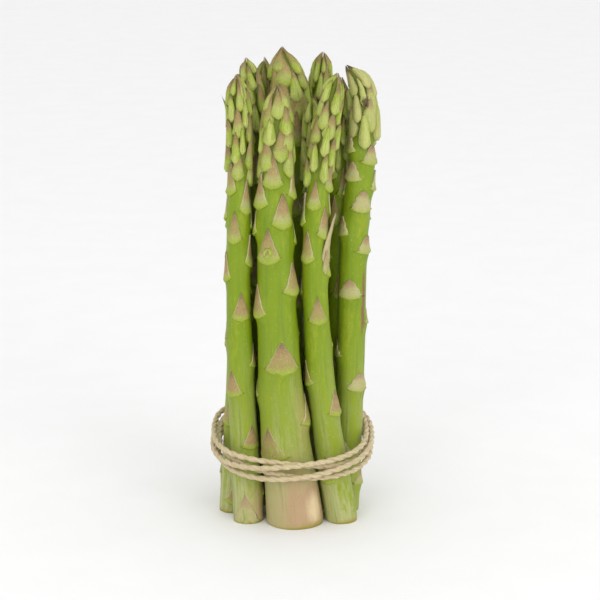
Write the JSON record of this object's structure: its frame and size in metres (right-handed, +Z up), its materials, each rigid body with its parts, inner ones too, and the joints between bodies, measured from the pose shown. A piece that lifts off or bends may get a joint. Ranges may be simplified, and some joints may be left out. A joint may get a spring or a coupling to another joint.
{
  "type": "bundle of asparagus",
  "caption": "Upright bundle of green asparagus spears with pointed, scaly heads, tied low down with wound jute twine, standing on its cut ends.",
  "frame": {"origin": "on the ground under the middle of the bundle", "axes": "+Z up along the spears, -Y to the front, +X to the right seen from the front"},
  "size_m": [0.0673, 0.0678, 0.19],
  "materials": {
    "spear": "fresh green skin with a slight sheen, purple-brown scales",
    "jute": "dry natural jute"
  },
  "bodies": {
    "root": {"spear_front": "spear", "spear_left": "spear", "spear_right": "spear", "spear_far_right": "spear", "spear_far_left": "spear", "spear_inner": "spear", "spear_tallest": "spear", "spear_far_right_back": "spear", "spear_left_back": "spear", "spear_right_back": "spear", "spear_back_left": "spear", "spear_back": "spear", "twine": "jute"}
  },
  "joints": []
}
